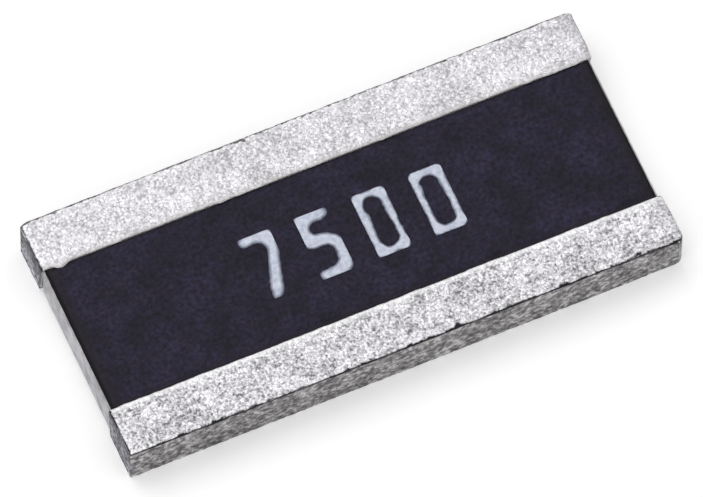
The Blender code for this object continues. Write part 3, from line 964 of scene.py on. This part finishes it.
def add_digit(number, digit, material):
    """One raised ink digit: an uneven stroke with soft edges, pooled in its corners."""
    low, high = box_of(f"marking_digit_{number}")
    shares, closed = DIGIT_STROKES[digit]
    inset = STROKE_INSET * STROKE
    start, size = low[:2] + inset, (high - low)[:2] - 2 * inset
    bends = [(start[0] + x * size[0], start[1] + y * size[1]) for x, y in shares]
    nx, ny = (int(round(length / INK_PITCH)) for length in (high - low)[:2])
    xs, ys = np.linspace(low[0], high[0], nx + 1), np.linspace(low[1], high[1], ny + 1)
    places = np.stack([grid.ravel() for grid in np.meshgrid(xs, ys, indexing="ij")], axis=1)
    field = ink_field(places, stroke_path(bends, closed), bends, closed, number)
    level = math.exp(-1 / INK_SPREAD**2)
    field = field.reshape(nx + 1, ny + 1)
    field[0] = field[-1] = 0
    field[:, 0] = field[:, -1] = 0

    # Height of the ink over the coat, from how deep inside its outline a place is
    width = INK_SPREAD * STROKE / 2
    far = np.sqrt(np.clip(-np.log(np.clip(field, 1e-9, 1)), 0, None))
    share = np.clip(width * (math.sqrt(-math.log(level)) - far) / INK_BEVEL, 0, 1)
    flat = np.concatenate([places, np.full((len(places), 1), number * 1e-3)], axis=1)
    wave = (1 - INK_WAVE + INK_WAVE * layered_noise(flat, 0.08e-3, SEED + 130, 2)).reshape(field.shape)
    full_height = high[2] - low[2]
    rise = full_height * (INK_EDGE + (1 - INK_EDGE) * np.sqrt(1 - (1 - share) ** 2)) * wave

    points = []
    depths = []
    made = {}

    def vertex(a, b, upper):
        """The point on a grid edge where the outline crosses it, or the grid point if a is b."""
        key = (min(a, b), max(a, b), upper)
        if key not in made:
            at = 0.0 if a == b else (level - field[a]) / (field[b] - field[a])
            x = xs[a[0]] + at * (xs[b[0]] - xs[a[0]])
            y = ys[a[1]] + at * (ys[b[1]] - ys[a[1]])
            thick = rise[a] if a == b else INK_EDGE * full_height
            made[key] = len(points)
            points.append((x, y, low[2] + (thick if upper else 0.0)))
            depths.append(share[a] if a == b else 0.0)
        return made[key]

    faces = []
    for i in range(nx):
        for j in range(ny):
            corners = [(i, j), (i + 1, j), (i + 1, j + 1), (i, j + 1)]
            inked = [field[corner] > level for corner in corners]
            if not any(inked):
                continue
            outline = []
            for k in range(4):
                here, after = corners[k], corners[(k + 1) % 4]
                if inked[k]:
                    outline.append((here, here))
                if inked[k] != inked[(k + 1) % 4]:
                    outline.append((here, after))
            faces.append(tuple(vertex(a, b, True) for a, b in outline))
            faces.append(tuple(vertex(a, b, False) for a, b in reversed(outline)))
            for first, second in zip(outline, outline[1:] + outline[:1]):
                if first[0] != first[1] and second[0] != second[1]:
                    faces.append((vertex(*first, True), vertex(*first, False),
                                  vertex(*second, False), vertex(*second, True)))
    item = add_mesh(f"ink_digit_{number}", np.clip(np.array(points), low, high), faces, material)
    face_outwards(item)
    store(item, "depth", depths)
    dress(item, "ink", f"marking_digit_{number}")


def add_stage():
    """A pale floor, a plain world and two soft lamps."""
    corners = [(FLOOR_HALF * x, FLOOR_HALF * y, 0) for x, y in ((-1, -1), (1, -1), (1, 1), (-1, 1))]
    make = Nodes("floor")
    grain = make.noise(2e-3)
    tone = make.ramp(grain, (0.3, 0.93), (0.7, 0.95))
    make.finish(tone, 0.9, make.bump(grain, 1e-6), specular=0.0)
    path = make.add("ShaderNodeLightPath").outputs
    seen = make.math("MAXIMUM", path["Is Camera Ray"], make.math(
        "MAXIMUM", path["Is Glossy Ray"], path["Is Transmission Ray"]))
    make.shader.inputs["Emission Color"].default_value = (1, 1, 1, 1)
    make.feed(make.shader.inputs["Emission Strength"], make.math("MULTIPLY", seen, FLOOR_GLOW))
    floor = add_mesh("floor", corners, [(0, 1, 2, 3)], make.material, smooth=False)

    world = bpy.data.worlds.new("world")
    world.use_nodes = True
    world.node_tree.nodes["Background"].inputs["Color"].default_value = (1, 1, 1, 1)
    world.node_tree.nodes["Background"].inputs["Strength"].default_value = WORLD_STRENGTH
    bpy.context.scene.world = world

    for name, (place, size, power) in LAMPS.items():
        add_lamp(name, place, size, power)


def add_lamp(name, place, size, power):
    """A square soft lamp that faces the chip."""
    data = bpy.data.lights.new(name, "AREA")
    data.size = size
    data.energy = power
    lamp = bpy.data.objects.new(name, data)
    lamp.location = place
    lamp.rotation_euler = (-Vector(place)).to_track_quat("-Z", "Y").to_euler()
    bpy.context.collection.objects.link(lamp)


def add_camera():
    """The camera that was fitted to the photograph."""
    rows = Matrix(CAMERA_ROWS).to_3x3()
    right = rows[0].normalized()
    ahead = (rows[2] - right * rows[2].dot(right)).normalized()
    down = ahead.cross(right)
    turn = Matrix((right, -down, -ahead)).transposed()
    eye = -(Matrix((right, down, ahead)).transposed() @ Vector(CAMERA_MOVE))
    data = bpy.data.cameras.new("camera")
    data.sensor_width = SENSOR
    data.lens = FOCAL_PIXELS / PICTURE_WIDTH * SENSOR
    data.clip_start = CLIP_NEAR
    data.clip_end = CLIP_FAR
    item = bpy.data.objects.new("camera", data)
    item.matrix_world = Matrix.Translation(eye) @ turn.to_4x4()
    bpy.context.collection.objects.link(item)
    bpy.context.scene.camera = item


def paint_inner():
    """Gives each hidden CAD layer a worked finish of its own."""
    for name, colour, metallic, layers in INNER_FINISHES:
        material = inner_material(name, colour, metallic)
        for layer in layers:
            for slot in bpy.data.objects[layer].material_slots:
                slot.material = material


add_camera()
add_stage()
paint_inner()
add_plate(ceramic_material())
add_coat(coat_material())
for side, name in ((-1, "front"), (1, "rear")):
    add_tin(side, name, tin_material(f"tin_{name}", TIN_TOPS[side], RIM_LIGHT_SHADES[side]))
ink = ink_material()
for number, digit in enumerate(MARK, start=1):
    add_digit(number, digit, ink)

bpy.context.scene.view_settings.view_transform = "Standard"
